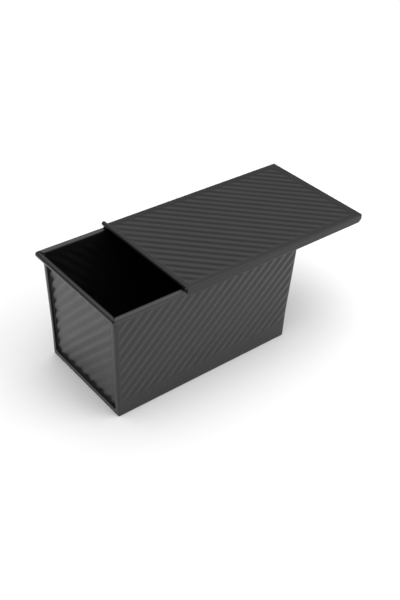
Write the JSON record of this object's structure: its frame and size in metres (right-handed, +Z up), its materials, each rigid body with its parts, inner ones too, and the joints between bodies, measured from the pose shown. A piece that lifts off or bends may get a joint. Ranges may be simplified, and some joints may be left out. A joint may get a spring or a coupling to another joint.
{
  "type": "pullman loaf pan",
  "caption": "Flared loaf pan of folded corrugated steel with a wired rolled rim, and a ribbed flat lid that slides along the rim on side channels.",
  "frame": {"origin": "middle of the underside of the base", "axes": "+X along the loaf, the way the lid is drawn out; -Y to the long side that faces the viewer; +Z up"},
  "size_m": [0.2839, 0.1244, 0.1185],
  "materials": {
    "pan_coating": "satin",
    "lid_coating": "satin",
    "rim_steel": "drawn"
  },
  "bodies": {
    "pan": {"pan_wrap": "pan_coating", "near_end_panel": "pan_coating", "far_end_panel": "pan_coating", "rim_wire": "rim_steel"},
    "lid": {"sliding_lid": "lid_coating"}
  },
  "joints": [
    {"name": "lid_slide", "type": "slide", "parent": "pan", "child": "lid", "axis": [1, 0, 0], "range_m": [-0.071, 0.14]}
  ]
}
